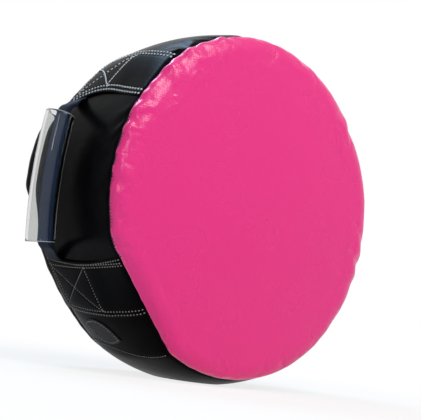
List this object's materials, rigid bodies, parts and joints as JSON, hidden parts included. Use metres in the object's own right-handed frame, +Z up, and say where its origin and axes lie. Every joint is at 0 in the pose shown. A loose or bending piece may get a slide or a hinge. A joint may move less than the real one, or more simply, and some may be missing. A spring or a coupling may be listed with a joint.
{
  "type": "punching shield",
  "caption": "Round foam punching shield with a crowned strike face, a swelling side wall crossed by reinforcing bands, and a tube handle on each side that swings.",
  "frame": {"origin": "on the floor under the middle of the shield, which stands on its rim", "axes": "+Z up, +Y from the strike face towards the back, +X to the right seen from the striker's side; the handles are at -X and +X"},
  "size_m": [0.47, 0.168, 0.4055],
  "materials": {
    "pink_vinyl": "glossy pink coated vinyl with a fine grain",
    "black_vinyl": "glossy black coated vinyl",
    "firm_foam": "grey closed-cell foam",
    "soft_foam": "cream open-cell foam",
    "webbing": "black woven webbing",
    "clear_pvc": "clear, slightly milky soft tube",
    "label": "bare woven patch"
  },
  "bodies": {
    "pad": {"strike_cover": "pink_vinyl", "gusset_wall": "black_vinyl", "back_cover": "black_vinyl", "upper_left_band": "black_vinyl", "lower_left_band": "black_vinyl", "upper_right_band": "black_vinyl", "lower_right_band": "black_vinyl", "strike_foam": "firm_foam", "core_foam": "soft_foam", "back_foam": "firm_foam", "left_strap_upper_end": "webbing", "left_strap_lower_end": "webbing", "right_strap_upper_end": "webbing", "right_strap_lower_end": "webbing", "label_patch": "label"},
    "left_handle": {"left_strap_grip": "webbing"},
    "right_handle": {"right_strap_grip": "webbing"},
    "left_tube": {"left_grip_tube": "clear_pvc"},
    "right_tube": {"right_grip_tube": "clear_pvc"}
  },
  "joints": [
    {"name": "left_handle_swing", "type": "hinge", "parent": "pad", "child": "left_handle", "pos_m": [-0.18989, 0.012, 0.203], "axis": [0, 0, 1], "range_deg": [-25, 25]},
    {"name": "right_handle_swing", "type": "hinge", "parent": "pad", "child": "right_handle", "pos_m": [0.18989, 0.012, 0.203], "axis": [0, 0, 1], "range_deg": [-25, 25]},
    {"name": "left_tube_slide", "type": "slide", "parent": "left_handle", "child": "left_tube", "axis": [0, 0, 1], "range_m": [0, 0.006]},
    {"name": "right_tube_slide", "type": "slide", "parent": "right_handle", "child": "right_tube", "axis": [0, 0, 1], "range_m": [0, 0.006]}
  ]
}
